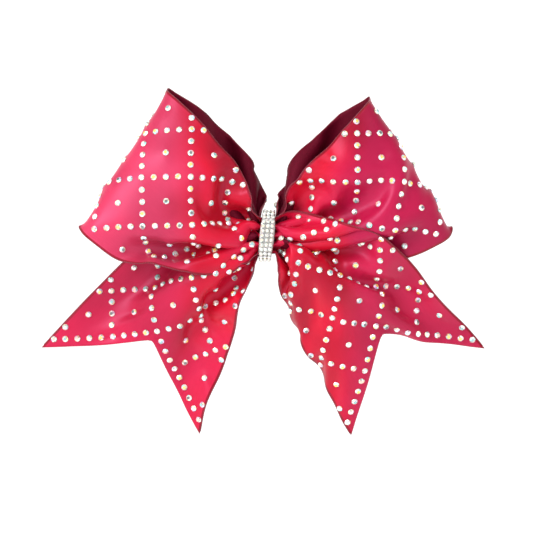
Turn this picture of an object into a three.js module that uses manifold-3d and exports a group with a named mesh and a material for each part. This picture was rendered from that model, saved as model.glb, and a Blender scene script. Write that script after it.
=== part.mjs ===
// A cheerleading hair bow: one wide satin ribbon with a matt lining, folded into two loops and two
// fishtailed tails, gathered by a zip tie under a crystal band, and glued to a French barrette.
// Millimetres. +X is the wearer's right as seen from behind, +Z is up, and the bow faces -Y.
// The origin is the middle of the barrette plate's hair side, where the clip grips the hair.

import * as THREE from "three";
import { mergeVertices } from "three/addons/utils/BufferGeometryUtils.js";
import Module from "manifold-3d";

const wasm = await Module();
wasm.setup();

// ---- driving dimensions -------------------------------------------------------------------------

const SHEET = 0.4; // thickness of the satin, and of the lining behind it
const SHEET_GAP = 0.3; // between the satin and its lining
const GATHER_Y = -13.2; // depth of the middle of the gathered bundle
const SLAB = 4.1; // from one gathered layer of ribbon to the next
const PLEAT = 1.5; // half the depth of a pleat inside the band
const BAND_WIDTH = 7; // of the crystal band, along X
const TIE_WIDTH = 3.6;
const CENTRE_GAP = 0.3; // from the gather's middle plane to the end of each ribbon panel

const CLIP_LENGTH = 70;
const CLIP_WIDTH = 9;
const CLIP_PLATE = 0.9;
const HINGE_X = -32.5;
const HINGE_Y = 8.6;
const PIN_RADIUS = 0.75;
const ARM_INNER_Y = 9.4; // the hair gap is everything between the plate, at 0, and this
const ARM_THICKNESS = 0.8;
const LATCH_X = 30.5;

// ---- solids -------------------------------------------------------------------------------------

function solidOf(geometry) {
  const bare = geometry.index ? geometry.toNonIndexed() : geometry.clone();
  bare.deleteAttribute("normal");
  bare.deleteAttribute("uv");
  const merged = mergeVertices(bare, 1e-4);
  return new wasm.Manifold(
    new wasm.Mesh({
      numProp: 3,
      vertProperties: merged.attributes.position.array,
      triVerts: new Uint32Array(merged.index.array),
    }),
  );
}

function geometryOf(solid) {
  const mesh = solid.getMesh();
  const geometry = new THREE.BufferGeometry();
  geometry.setAttribute("position", new THREE.BufferAttribute(mesh.vertProperties, 3));
  geometry.setIndex(new THREE.BufferAttribute(mesh.triVerts, 1));
  return geometry;
}

const join = (first, ...rest) =>
  geometryOf(rest.reduce((sum, piece) => sum.add(solidOf(piece)), solidOf(first)));

const cut = (body, ...tools) =>
  geometryOf(tools.reduce((left, tool) => left.subtract(solidOf(tool)), solidOf(body)));

function boxBetween([x0, y0, z0], [x1, y1, z1]) {
  const box = new THREE.BoxGeometry(x1 - x0, y1 - y0, z1 - z0);
  return box.translate((x0 + x1) / 2, (y0 + y1) / 2, (z0 + z1) / 2);
}

function cylinderAlongZ(x, y, radius, length, sides = 20) {
  const cylinder = new THREE.CylinderGeometry(radius, radius, length, sides);
  return cylinder.rotateX(Math.PI / 2).translate(x, y, 0);
}

// An outline drawn in YZ, as a prism of that width centred on the gather's middle plane.
function prismAlongX(shape, width, curveSegments = 8) {
  const prism = new THREE.ExtrudeGeometry(shape, { depth: width, bevelEnabled: false, curveSegments });
  prism.applyMatrix4(
    new THREE.Matrix4().makeBasis(
      new THREE.Vector3(0, 1, 0),
      new THREE.Vector3(0, 0, 1),
      new THREE.Vector3(1, 0, 0),
    ),
  );
  return prism.translate(-width / 2, 0, 0);
}

// An outline drawn in XY, as a prism of that width centred on Z = 0.
function prismAlongZ(shape, width, curveSegments = 8) {
  const prism = new THREE.ExtrudeGeometry(shape, { depth: width, bevelEnabled: false, curveSegments });
  return prism.translate(0, 0, -width / 2);
}

// An outline drawn in XZ, as a plate from y to y + thickness.
function plateInXZ(shape, y, thickness, curveSegments = 8) {
  const plate = new THREE.ExtrudeGeometry(shape, { depth: thickness, bevelEnabled: false, curveSegments });
  return plate.rotateX(Math.PI / 2).translate(0, y + thickness, 0);
}

function roundedRectangle(halfWidth, halfHeight, radius, centreX = 0, centreY = 0) {
  const shape = new THREE.Shape();
  const corners = [
    [halfWidth, -halfHeight, -Math.PI / 2],
    [halfWidth, halfHeight, 0],
    [-halfWidth, halfHeight, Math.PI / 2],
    [-halfWidth, -halfHeight, Math.PI],
  ];
  for (const [x, y, start] of corners) {
    const cx = centreX + x - Math.sign(x) * radius;
    const cy = centreY + y - Math.sign(y) * radius;
    shape.absarc(cx, cy, radius, start, start + Math.PI / 2, false);
  }
  shape.closePath();
  return shape;
}

// ---- ribbon -------------------------------------------------------------------------------------

// A panel of ribbon is drawn by its ribs: each rib is eight points across the ribbon, from the
// lower edge to the upper one, and the ribs follow each other along the ribbon.

// Share of the width at each of the eight points.
const ACROSS = [0, 0.05, 0.11, 0.18, 0.33, 0.55, 0.78, 1];
// Height of each point where the ribbon is gathered, and the height at which the bundle would close.
const PINCH_HEIGHTS = [-8.2, -6.2, -3.6, 0.2, 3.6, 5.8, 7.2, 8.2];
const PINCH_REACH = 12.5;

// A rib inside the gather. The slab is -1 for the front layer, 0 for the middle and 1 for the back.
function pinchRib(x, slab) {
  return PINCH_HEIGHTS.map((z, i) => {
    const taper = Math.sqrt(1 - (z / PINCH_REACH) ** 2);
    const pleat = i % 2 ? -PLEAT : PLEAT;
    return [x, GATHER_Y + taper * (slab * SLAB + pleat), z];
  });
}

// A rib on a straight line between two corners, moved inwards at each end and in depth.
function foldRib([lowX, lowZ], [highX, highZ], [insetLow, insetHigh], y) {
  const length = Math.hypot(highX - lowX, highZ - lowZ);
  const side = Math.sign(lowX);
  const inX = (-side * (highZ - lowZ)) / length;
  const inZ = (side * (highX - lowX)) / length;
  return ACROSS.map((share) => {
    const inset = insetLow + share * (insetHigh - insetLow);
    return [
      lowX + share * (highX - lowX) + inset * inX,
      y,
      lowZ + share * (highZ - lowZ) + inset * inZ,
    ];
  });
}

// A rib of a back panel: nearly straight, bowed by that much, with pleats of that depth.
function backRib(low, high, bow, pleat) {
  return ACROSS.map((share, i) => {
    const [x, y, z] = [0, 1, 2].map((k) => low[k] + share * (high[k] - low[k]));
    return [x, y + bow * Math.sin(Math.PI * share) + (i % 2 ? -pleat : pleat), z];
  });
}

const sampled = (points, count) =>
  new THREE.CatmullRomCurve3(points.map((p) => new THREE.Vector3(...p)))
    .getPoints(count)
    .map((p) => p.toArray());

const transposed = (rows) => rows[0].map((_, j) => rows.map((row) => row[j]));

// The ribs as a smooth grid of points: along + 1 rows of across + 1 points.
function smoothGrid(ribs, along, across) {
  const fine = ribs.map((rib) => sampled(rib, across));
  return transposed(transposed(fine).map((line) => sampled(line, along)));
}

// The grid with a fishtail cut into its last row: each line across the ribbon stops short of the
// tips by an amount that is largest in the middle.
function fishtailed(ribs, along, across, notchShare) {
  const fine = transposed(ribs.map((rib) => sampled(rib, across)));
  return transposed(
    fine.map((line, j) => {
      const curve = new THREE.CatmullRomCurve3(line.map((p) => new THREE.Vector3(...p)));
      const fromMiddle = Math.abs((2 * j) / across - 1);
      const end = 1 - notchShare * (1 - fromMiddle);
      return Array.from({ length: along + 1 }, (_, i) => curve.getPoint((end * i) / along).toArray());
    }),
  );
}

function gridNormals(grid) {
  const last = grid.length - 1;
  const end = grid[0].length - 1;
  return grid.map((row, i) =>
    row.map((_, j) => {
      const alongU = new THREE.Vector3(...grid[Math.min(i + 1, last)][j]);
      alongU.sub(new THREE.Vector3(...grid[Math.max(i - 1, 0)][j]));
      const alongV = new THREE.Vector3(...grid[i][Math.min(j + 1, end)]);
      alongV.sub(new THREE.Vector3(...grid[i][Math.max(j - 1, 0)]));
      return alongU.cross(alongV).normalize();
    }),
  );
}

// A closed sheet between two offsets from the grid, measured along its normals.
function sheet(grid, inner, outer) {
  const normals = gridNormals(grid);
  const rows = grid.length;
  const columns = grid[0].length;
  const positions = [];
  for (const offset of [inner, outer]) {
    grid.forEach((row, i) =>
      row.forEach((p, j) => {
        const n = normals[i][j];
        positions.push(p[0] + offset * n.x, p[1] + offset * n.y, p[2] + offset * n.z);
      }),
    );
  }
  const index = [];
  const at = (side, i, j) => side * rows * columns + i * columns + j;
  const quad = (a, b, c, d) => index.push(a, b, c, a, c, d);
  for (let i = 0; i < rows - 1; i++) {
    for (let j = 0; j < columns - 1; j++) {
      quad(at(0, i, j), at(0, i, j + 1), at(0, i + 1, j + 1), at(0, i + 1, j));
      quad(at(1, i, j), at(1, i + 1, j), at(1, i + 1, j + 1), at(1, i, j + 1));
    }
    quad(at(0, i, 0), at(0, i + 1, 0), at(1, i + 1, 0), at(1, i, 0));
    quad(at(0, i, columns - 1), at(1, i, columns - 1), at(1, i + 1, columns - 1), at(0, i + 1, columns - 1));
  }
  for (let j = 0; j < columns - 1; j++) {
    quad(at(0, 0, j), at(1, 0, j), at(1, 0, j + 1), at(0, 0, j + 1));
    quad(at(0, rows - 1, j), at(0, rows - 1, j + 1), at(1, rows - 1, j + 1), at(1, rows - 1, j));
  }
  const geometry = new THREE.BufferGeometry();
  geometry.setAttribute("position", new THREE.Float32BufferAttribute(positions, 3));
  geometry.setIndex(index);
  return geometry;
}

// The wearer sees the left loop on the left. It starts in the front layer of the gather, bulges
// forward with two folds under its middle, turns at the outer fold and comes back behind.
const LEFT_LOW = [-88.2, 4.6];
const LEFT_HIGH = [-47.2, 69.3];
const leftLoopRibs = [
  pinchRib(-CENTRE_GAP, -1),
  pinchRib(-4.8, -1),
  [
    [-11, -19.5, -11.5], [-12, -22.5, -9.6], [-12.5, -19, -6], [-13, -25, -3.2],
    [-13.5, -18.5, 7.6], [-13.5, -22, 13.5], [-12.8, -20.5, 21.5], [-11.5, -20, 29],
  ],
  [
    [-31.7, -21.5, -17.2], [-32, -24, -13], [-32, -20, -6], [-31.7, -27, -3.2],
    [-32, -32, 6], [-32, -35, 22], [-32, -32, 41], [-33, -24.5, 56.7],
  ],
  [
    [-58, -20.5, -12], [-58, -22.5, -8.5], [-58.5, -20.5, -4.5], [-59, -24, -1.5],
    [-57, -28.5, 8], [-51, -32, 24], [-44, -29, 43], [-37, -22.5, 60.5],
  ],
  foldRib(LEFT_LOW, LEFT_HIGH, [12, 6], -19.5),
  foldRib(LEFT_LOW, LEFT_HIGH, [0, 0], -12),
  foldRib(LEFT_LOW, LEFT_HIGH, [12, 6], -6.5),
  backRib([-50, -5.5, -1], [-31, -6.5, 59.6], 2, 0),
  backRib([-20, -7.5, -5.5], [-12.5, -7.5, 39.5], 0.5, 0.6),
  backRib([-9, -9, -7.5], [-6.5, -7.5, 21], 0, 1),
  pinchRib(-4.8, 1),
  pinchRib(-CENTRE_GAP, 1),
];

// The right loop starts in the middle layer, behind the right tail.
const RIGHT_LOW = [86.9, 4.5];
const RIGHT_HIGH = [47.9, 65.8];
const rightLoopRibs = [
  pinchRib(CENTRE_GAP, 0),
  pinchRib(4.8, 0),
  [
    [11, -13.5, -9], [12, -15.5, -6.5], [12.5, -13, -3], [12.5, -16.5, 1],
    [12.5, -12.5, 8], [12.5, -16.5, 14], [12.5, -15, 19.5], [12, -14, 24.5],
  ],
  [
    [31, -14, -13], [31.5, -16, -9], [32, -16.5, -4.5], [32.5, -18.5, 1],
    [32.5, -25, 11], [32.5, -29.5, 22], [32, -26, 33.5], [31, -20.5, 44],
  ],
  [
    [58, -14.5, -9.5], [57.5, -16.5, -6.5], [57, -19.5, -2.5], [56, -24, 4.5],
    [54, -29, 14], [49.5, -30.5, 27], [43.5, -27, 40.5], [37.5, -20, 52],
  ],
  foldRib(RIGHT_LOW, RIGHT_HIGH, [12, 6], -19.5),
  foldRib(RIGHT_LOW, RIGHT_HIGH, [0, 0], -12),
  foldRib(RIGHT_LOW, RIGHT_HIGH, [12, 6], -6.5),
  backRib([48, -5.5, -2], [33, -6.5, 57.3], 2, 0),
  backRib([20, -7.5, -5.5], [16, -7.5, 34.3], 0.5, 0.6),
  backRib([9, -9, -7.5], [8, -7.5, 18.5], 0, 1),
  pinchRib(4.8, 1),
  pinchRib(CENTRE_GAP, 1),
];

// The left tail starts in the middle layer and comes out under the left loop.
const leftTailRibs = [
  pinchRib(-CENTRE_GAP, 0),
  pinchRib(-4.8, 0),
  [
    [-10.5, -12.5, -26], [-12.5, -14.5, -22.5], [-14, -12.5, -18], [-15, -14.5, -13],
    [-15.5, -12.5, -7], [-15.5, -14, -2], [-15.5, -12.5, 3], [-15, -12, 8],
  ],
  [
    [-16, -9, -43], [-21.5, -12, -37], [-27, -13.5, -29], [-31, -16.5, -21],
    [-34, -16, -13], [-36, -14.5, -6], [-37, -13, 1.5], [-38, -12, 9],
  ],
  [
    [-23, 0, -63.5], [-31.5, -3, -57.5], [-40, -4, -51], [-47, -6, -46],
    [-55, -7, -40], [-62.5, -7, -33.5], [-70, -6, -27], [-76, -4, -21.5],
  ],
  backRib([-32.7, 8, -90.9], [-105.5, 7, -51.9], -9, 0),
];

// The right tail starts in the front layer and crosses in front of the right loop.
const rightTailRibs = [
  pinchRib(CENTRE_GAP, -1),
  pinchRib(4.8, -1),
  [
    [7.5, -15, -23], [9.5, -18, -17.5], [11.5, -21, -9.5], [12.5, -17, -4],
    [13, -25, -0.5], [13, -22.5, 5.5], [12.5, -18.5, 8.5], [12, -18.5, 9.6],
  ],
  [
    [12.5, -12, -41], [19.5, -17, -29], [26, -22, -16], [31, -21.5, -7],
    [34, -29, -1], [34, -30.5, 1.6], [34, -29.5, 4.2], [33.8, -28.5, 6.5],
  ],
  [
    [22.5, -6, -60.5], [31, -10, -50], [39, -13, -38], [44.5, -15, -30],
    [49.5, -17, -23], [54.5, -19, -17], [58.5, -21, -12], [62, -22.5, -8],
  ],
  backRib([36.8, 6, -95], [102.6, 6, -52.4], -10, 0),
];

const LOOP_GRID = [24, 14];
const TAIL_GRID = [10, 14];
const NOTCH_SHARE = 0.14; // of the ribs between the gather and the tips, at the notch

// Satin and lining are two sheets on either side of one surface; the side says where the face is.
function ribbonSheets(grid, faceSide) {
  const near = SHEET_GAP / 2;
  const far = near + SHEET;
  const sides = [sheet(grid, near, far), sheet(grid, -far, -near)];
  return faceSide > 0 ? { face: sides[0], lining: sides[1] } : { face: sides[1], lining: sides[0] };
}

// ---- gather -------------------------------------------------------------------------------------

const TIE_INNER = [7.7, 9.5, 5.4]; // half depth, half height and corner radius inside the tie
const ringShape = (grow) =>
  roundedRectangle(TIE_INNER[0] + grow, TIE_INNER[1] + grow, TIE_INNER[2] + grow, GATHER_Y, 0);
const TIE_THICKNESS = 0.8;
const BAND_INNER = TIE_THICKNESS + 0.3;
const BAND_OUTER = BAND_INNER + 0.7;
const TIE_HEAD = { halfX: 2.3, halfZ: 2.6, top: -1.5 };

// The zip tie is a strap pulled tight round the bundle, with its ratchet head at the back.
function zipTie() {
  const strap = cut(prismAlongX(ringShape(TIE_THICKNESS), TIE_WIDTH), prismAlongX(ringShape(0), TIE_WIDTH + 1));
  const headBottom = GATHER_Y + TIE_INNER[0] + TIE_THICKNESS / 2;
  const { halfX, halfZ, top } = TIE_HEAD;
  const head = boxBetween([-halfX, headBottom, -halfZ], [halfX, top, halfZ]);
  return join(strap, head);
}

// The band covers the front and both ends of the gather, and leaves the tie's head free behind.
function crystalBand() {
  const ring = prismAlongX(ringShape(BAND_OUTER), BAND_WIDTH);
  const hollow = prismAlongX(ringShape(BAND_INNER), BAND_WIDTH + 1);
  const behind = GATHER_Y + TIE_INNER[0];
  const reach = TIE_HEAD.halfZ + 0.8;
  const opening = boxBetween([-BAND_WIDTH, behind, -reach], [BAND_WIDTH, 5, reach]);
  return cut(ring, hollow, opening);
}

// Hot glue fills the space round the tie's head, between the band and the clip's plate.
function gluePad() {
  const bandBack = GATHER_Y + TIE_INNER[0] + BAND_OUTER;
  const { halfX, halfZ } = TIE_HEAD;
  const outline = roundedRectangle(8, 4, 3);
  const pad = plateInXZ(outline, bandBack + 0.3, -CLIP_PLATE - bandBack - 0.6);
  const pocket = boxBetween([-halfX - 0.3, -9, -halfZ - 0.3], [halfX + 0.3, 1, halfZ + 0.3]);
  return cut(pad, pocket);
}

// ---- French barrette ----------------------------------------------------------------------------

const EAR = 0.8; // thickness of the hinge's two ears
const EAR_INNER_Z = CLIP_WIDTH / 2 - EAR;

// A long plate with rounded ends, a stiffening rib and two sewing holes, with the hinge's ears on it.
function clipBase() {
  const plate = plateInXZ(roundedRectangle(CLIP_LENGTH / 2, CLIP_WIDTH / 2, 3), -CLIP_PLATE, CLIP_PLATE);
  const ear = new THREE.Shape();
  ear.moveTo(HINGE_X - 2.3, -CLIP_PLATE / 2);
  ear.lineTo(HINGE_X + 4.5, -CLIP_PLATE / 2);
  ear.lineTo(HINGE_X + 2, HINGE_Y);
  ear.absarc(HINGE_X, HINGE_Y, 2, 0, Math.PI, false);
  ear.closePath();
  const ears = prismAlongZ(ear, CLIP_WIDTH);
  const between = boxBetween([-50, 0.001, -EAR_INNER_Z], [0, 30, EAR_INNER_Z]);
  const bore = cylinderAlongZ(HINGE_X, HINGE_Y, PIN_RADIUS + 0.12, CLIP_WIDTH + 2);
  const trimmedEars = cut(ears, between, bore);
  const holes = [-20, 20].map((x) => new THREE.CylinderGeometry(1.1, 1.1, 4, 16).translate(x, -CLIP_PLATE / 2, 0));
  return cut(join(plate, trimmedEars, ...keepers()), ...holes);
}

// The tension bar's fixed end sits in a low bridge on the plate.
const BAR_PIVOT = [-25.5, 1.3];
const BAR_WIDTH = 4.4;
function keepers() {
  const [x, y] = BAR_PIVOT;
  const outer = BAR_WIDTH / 2 + 1;
  const inner = BAR_WIDTH / 2 + 0.3;
  const leg = (side) =>
    boxBetween([x - 1.2, -0.2, side > 0 ? inner : -outer], [x + 1.2, y + 1.4, side > 0 ? outer : -inner]);
  const bridge = boxBetween([x - 1.2, y + 0.7, -outer], [x + 1.2, y + 1.4, outer]);
  return [leg(1), leg(-1), bridge];
}

function hingePin() {
  const head = 1.25;
  const half = CLIP_WIDTH / 2 + 0.15;
  const profile = [
    [0, -half - 0.5], [head * 0.7, -half - 0.5], [head, -half - 0.25], [head, -half],
    [PIN_RADIUS, -half], [PIN_RADIUS, half], [head, half], [head, half + 0.25],
    [head * 0.7, half + 0.5], [0, half + 0.5],
  ];
  const pin = new THREE.LatheGeometry(profile.map(([r, y]) => new THREE.Vector2(r, y)), 20);
  return pin.rotateX(Math.PI / 2).translate(HINGE_X, HINGE_Y, 0);
}

// The arm is a flat bar, rolled round the pin at one end, with a window for the latch at the other.
function clipArm() {
  const barHalfWidth = 2.8;
  const paddleHalfWidth = 4.2;
  const end = LATCH_X + 3.6;
  const outline = new THREE.Shape();
  outline.moveTo(HINGE_X + 0.6, -barHalfWidth);
  outline.lineTo(LATCH_X - 8, -barHalfWidth);
  outline.lineTo(LATCH_X - 5, -paddleHalfWidth);
  outline.lineTo(end - 1.5, -paddleHalfWidth);
  outline.absarc(end - 1.5, -paddleHalfWidth + 1.5, 1.5, -Math.PI / 2, 0, false);
  outline.absarc(end - 1.5, paddleHalfWidth - 1.5, 1.5, 0, Math.PI / 2, false);
  outline.lineTo(LATCH_X - 5, paddleHalfWidth);
  outline.lineTo(LATCH_X - 8, barHalfWidth);
  outline.lineTo(HINGE_X + 0.6, barHalfWidth);
  outline.closePath();
  const bar = plateInXZ(outline, ARM_INNER_Y, ARM_THICKNESS);
  const barrel = cylinderAlongZ(HINGE_X, HINGE_Y, 1.75, 2 * barHalfWidth, 24);
  const bore = cylinderAlongZ(HINGE_X, HINGE_Y, PIN_RADIUS + 0.1, 20);
  const window = boxBetween([LATCH_X - 3.4, 0, -3], [LATCH_X + 2.2, 20, 3]);
  return cut(join(bar, barrel), bore, window);
}

// The tension bar is a thin leaf that bows up from the plate and presses the hair against the arm.
function tensionBar() {
  const [startX, startY] = BAR_PIVOT;
  const thickness = 0.4;
  const line = new THREE.SplineCurve([
    new THREE.Vector2(startX - 1, startY - 0.1),
    new THREE.Vector2(startX + 2, startY + 0.2),
    new THREE.Vector2(-12, 3.4),
    new THREE.Vector2(0, 4.2),
    new THREE.Vector2(12, 3.9),
    new THREE.Vector2(24, 2.7),
  ]).getPoints(20);
  const shape = new THREE.Shape();
  line.forEach((p, i) => (i ? shape.lineTo(p.x, p.y) : shape.moveTo(p.x, p.y)));
  line.reverse().forEach((p) => shape.lineTo(p.x, p.y - thickness));
  shape.closePath();
  return prismAlongZ(shape, BAR_WIDTH);
}

// Each latch tab is a springy prong. It stands on the plate, passes through the arm's window and
// ends in a rounded thumb pad. The side is 1 for the upper tab and -1 for the lower one.
const TAB_ROOT = [0.3, 1.9]; // y and z of the upper tab's root
function latchTab(side) {
  const [rootY, rootZ] = TAB_ROOT;
  const tipY = ARM_INNER_Y + ARM_THICKNESS + 3.6;
  const outline = [
    [rootY, rootZ - 0.35], [rootY, rootZ + 0.35], [tipY - 4, rootZ + 0.4], [tipY - 3.2, rootZ + 0.85],
    [tipY - 1.2, rootZ + 0.9], [tipY - 0.4, rootZ + 0.7], [tipY, rootZ + 0.2], [tipY, rootZ - 0.1],
    [tipY - 2.4, rootZ - 0.2], [tipY - 4, rootZ - 0.35],
  ];
  const shape = new THREE.Shape(outline.map(([y, z]) => new THREE.Vector2(y, side * z)));
  return prismAlongX(shape, 3.6).translate(LATCH_X - 0.6, 0, 0);
}

// ---- the object ---------------------------------------------------------------------------------

const satin = new THREE.MeshStandardMaterial({ color: 0xb5122f, roughness: 0.35, metalness: 0 });
const lining = new THREE.MeshStandardMaterial({ color: 0x5c0717, roughness: 0.8, metalness: 0 });
const nickel = new THREE.MeshStandardMaterial({ color: 0xc9c9c6, roughness: 0.25, metalness: 1 });
const nylon = new THREE.MeshStandardMaterial({ color: 0x141416, roughness: 0.5, metalness: 0 });
const glue = new THREE.MeshStandardMaterial({ color: 0xe6e0cf, roughness: 0.3, metalness: 0 });
const silver = new THREE.MeshStandardMaterial({ color: 0xd8d8dc, roughness: 0.2, metalness: 1 });

const bow = new THREE.Group();
function add(name, geometry, material) {
  const mesh = new THREE.Mesh(geometry, material);
  mesh.name = name;
  bow.add(mesh);
}

function addRibbon(name, grid, faceSide) {
  const sheets = ribbonSheets(grid, faceSide);
  add(`${name}_face`, sheets.face, satin);
  add(`${name}_lining`, sheets.lining, lining);
}

addRibbon("left_loop", smoothGrid(leftLoopRibs, ...LOOP_GRID), 1);
addRibbon("right_loop", smoothGrid(rightLoopRibs, ...LOOP_GRID), -1);
addRibbon("left_tail", fishtailed(leftTailRibs, ...TAIL_GRID, NOTCH_SHARE), 1);
addRibbon("right_tail", fishtailed(rightTailRibs, ...TAIL_GRID, NOTCH_SHARE), -1);

add("gather_zip_tie", zipTie(), nylon);
add("centre_band", crystalBand(), silver);
add("glue_pad", gluePad(), glue);

add("clip_base", clipBase(), nickel);
add("clip_hinge_pin", hingePin(), nickel);
add("clip_arm", clipArm(), nickel);
add("clip_tension_bar", tensionBar(), nickel);
add("clip_latch_tab_upper", latchTab(1), nickel);
add("clip_latch_tab_lower", latchTab(-1), nickel);

export default bow;
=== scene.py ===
"""Looks of the cheer hair bow: folded satin ribbon with crystals, crystal band, tie, glue and clip.

The ribbon is a flat sheet that a small cloth solver settles between its pleated ends. Lengths are
in millimetres up to new_object(), which turns them into metres.
"""

import math

import bpy
import numpy as np
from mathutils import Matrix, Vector


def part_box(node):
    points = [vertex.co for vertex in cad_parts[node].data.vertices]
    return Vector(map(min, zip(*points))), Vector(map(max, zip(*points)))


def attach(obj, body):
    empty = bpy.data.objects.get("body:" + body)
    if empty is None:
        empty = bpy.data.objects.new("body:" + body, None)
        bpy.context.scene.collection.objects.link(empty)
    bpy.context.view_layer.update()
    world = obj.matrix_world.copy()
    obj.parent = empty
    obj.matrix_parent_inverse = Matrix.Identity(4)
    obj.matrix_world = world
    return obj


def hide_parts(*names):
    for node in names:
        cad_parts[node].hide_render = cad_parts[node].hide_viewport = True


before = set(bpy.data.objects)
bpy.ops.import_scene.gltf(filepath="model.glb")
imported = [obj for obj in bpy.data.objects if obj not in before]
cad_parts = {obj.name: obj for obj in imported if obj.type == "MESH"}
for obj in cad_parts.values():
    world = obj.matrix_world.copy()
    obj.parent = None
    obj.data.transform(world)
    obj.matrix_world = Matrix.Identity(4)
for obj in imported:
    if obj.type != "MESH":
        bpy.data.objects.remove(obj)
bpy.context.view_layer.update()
rng = np.random.default_rng(7)

# ---- the flat ribbon ------------------------------------------------------------------------------
# A point of the flat ribbon is (u, v): u along it and v across it, with v from -HALF to HALF.
# Crystals lie on a grid turned 45 degrees to the ribbon, and UNIT is half of a grid cell's diagonal,
# so the guides below give a point's u and v in units of UNIT.

HALF = 38.1
UNIT = 16.12
ACROSS = 30  # cells of the settled cloth across the ribbon
CELL = 2.54
INSIDE, OUTSIDE = 0.04, 0.24  # satin and lining lie between these distances from the cloth

CRYSTAL_RADIUS, CRYSTAL_HEIGHT = 1.46, 1.1
SELVEDGE_RADIUS = 0.28

# The gather: pleats under the band, shared by the three layers of ribbon.
GATHER_Y = -13.2
GATHER_HALF_HEIGHT = 8.4
PLEATS = 8
PLEAT_HALF_DEPTH = 4.9
LAYER = 2.3
BAND_EDGE = 3.75  # |x| at which the ribbon leaves the band
BAND_SLACK = 0.91  # how much of its length the ribbon keeps inside the band
BAND_ROWS = 3  # rows of the cloth that the band holds


def pleat(share):
    """Offset in depth of the gathered ribbon at that share of its width, from -1 to 1."""
    wave = np.cos(np.pi * PLEATS / 2 * (share + 1))
    return -PLEAT_HALF_DEPTH * np.arcsin(0.97 * wave) / math.asin(0.97)


# Each panel lists the lines across the ribbon that bound it, as u = a + b v + c v^2, then guides:
# rows of (k, m, x, y, z) that say where the point (k, m) of the crystal grid comes to lie.
# PULLS says how firmly each kind of guide draws the cloth in x and z, and in depth.

PULLS = {"guides": (0.35, 0.03), "fold": (0.5, 0.1), "back": (0.3, 0.1)}

LEFT_LOOP = {
    "side": -1,
    "layers": (-1, 1),
    "lines": [(73, -0.39, -0.002), (-19, -0.26, 0), (-97, -0.2, -0.0052)],
    "guides": [
        (0, 0, -59.0, -30, 27.3), (-1, 1, -57.1, -20, 47.6), (0, 2, -35.3, -27, 49.7),
        (1, 1, -35.7, -33, 27.3), (2, 2, -16.5, -21, 24.6), (-1, -1, -77.2, -18, 22.4),
        (0, -2, -81.5, -26, 2.8), (1, -1, -59.0, -30, 4.5), (2, 0, -35.2, -29, 5.3),
        (3, 1, -17.5, -15, 5.4), (2, -2, -54.0, -28, -9.8), (3, -1, -32.3, -17, -5.2),
        (4, -2, -21.9, -28, -15.0), (-1, 2, -46.4, -22, 59.6), (0, 1, -47.7, -30, 38.8),
        (1, 0, -47.4, -32, 16.1), (0, -1, -70.1, -27, 15.1), (-1, 0, -67.2, -20, 34.8),
        (1, 2, -25.2, -26, 37.2), (2, 1, -26.6, -26, 14.8), (3, 2, -8.0, -17, 12.2),
        (1, -2, -68.4, -26, -6.9), (2, -1, -45.8, -21, -4.8), (3, -2, -39.0, -27, -12.8),
        (3, 0, -23.4, -27, -4.7), (4, -1, -21.4, -21, -8.6), (1.25, -1.25, -58.2, -31.5, -1.6),
        (2.25, -0.25, -35.0, -31, -0.5), (3.25, 0.75, -15.6, -18.5, 2.8),
        (3.5, 0.5, -13.2, -22, -1.5), (3.75, 0.25, -11.6, -22, -5.0),
        (2.25, 2.25, -11.5, -19.5, 23.5), (2.75, -0.75, -33.5, -20, -2.0),
        (2, -2.364, -55.0, -28, -12.6), (3, -2.364, -38.5, -27, -16.2), (4, -2.364, -23.0, -26, -15.8),
        (4.6, -2.364, -13.0, -22, -12.4),
    ],
    "fold": [
        (-0.56, -2.364, -89.6, -20, 5.2), (-0.93, -1, -76.9, -16.5, 23.0),
        (-1.19, 0, -68.0, -14, 37.0), (-1.48, 1.18, -57.5, -13, 53.2),
        (-1.79, 2.364, -47.9, -13, 71.6),
    ],
    "back": [
        (-3.16, 2.364, -28.7, -7, 58.3), (-4.16, 2.364, -18.2, -6.5, 47.8),
        (-5.33, 2.364, -8.4, -6.5, 32.6), (-6.3, 2.364, -0.2, -8, 20.9),
        (-3.45, 0, -37.0, -6, 19.0), (-3.2, -2.2, -47.0, -7, -1.0),
    ],
}

RIGHT_LOOP = {
    "side": 1,
    "layers": (0, 1),
    "lines": [(70.5, -0.31, 0), (-17, -0.16, 0), (-91, -0.05, -0.0053)],
    "guides": [
        (0, 0, 64.2, -29, 24.9), (0, 2, 42.1, -28, 47.5), (1, 1, 42.2, -30, 24.9),
        (2, 2, 20.3, -24, 26.0), (-1, 1, 60.8, -18, 45.5), (-1, -1, 77.4, -13, 21.3),
        (0, -2, 79.2, -18, 1.3), (1, -1, 60.8, -27, 2.8), (2, 0, 39.7, -18.5, 6.0),
        (3, 1, 20.6, -14, 6.1), (2.25, 2.25, 15.0, -20.5, 25.1), (-1, 2, 51.1, -18, 57.8),
        (1, 2, 30.9, -27, 35.7), (0, 1, 53.5, -28, 35.8), (2, 1, 31.3, -22, 15.4),
        (1, 0, 52.7, -28, 14.2), (3, 2, 11.3, -16, 15.0), (0, -1, 72.4, -23, 12.8),
        (-1, 0, 69.1, -16, 33.0), (1, -2, 65.3, -20, -4.7), (1.25, -1.25, 58.4, -23.5, -0.7),
        (1.5, -1.5, 55.5, -19, -2.2), (2, -2, 47.0, -15, -8.0), (3, -1, 28.0, -13, -5.0),
    ],
    "fold": [
        (-0.68, -2.364, 88.4, -13, 6.0), (-1.05, 0, 67.6, -11, 35.0),
        (-1.43, 2.364, 48.8, -11, 68.0),
    ],
    "back": [
        (-2.36, 2.364, 35.1, -7, 59.0), (-3.47, 2.364, 23.4, -6.5, 46.6),
        (-4.96, 2.364, 12.1, -7, 26.7), (-5.6, 2.364, 7.0, -8.5, 18.5),
        (-3.35, 0, 36.0, -6, 17.0), (-3.25, -2.2, 46.0, -7, -1.0),
    ],
}

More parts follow.
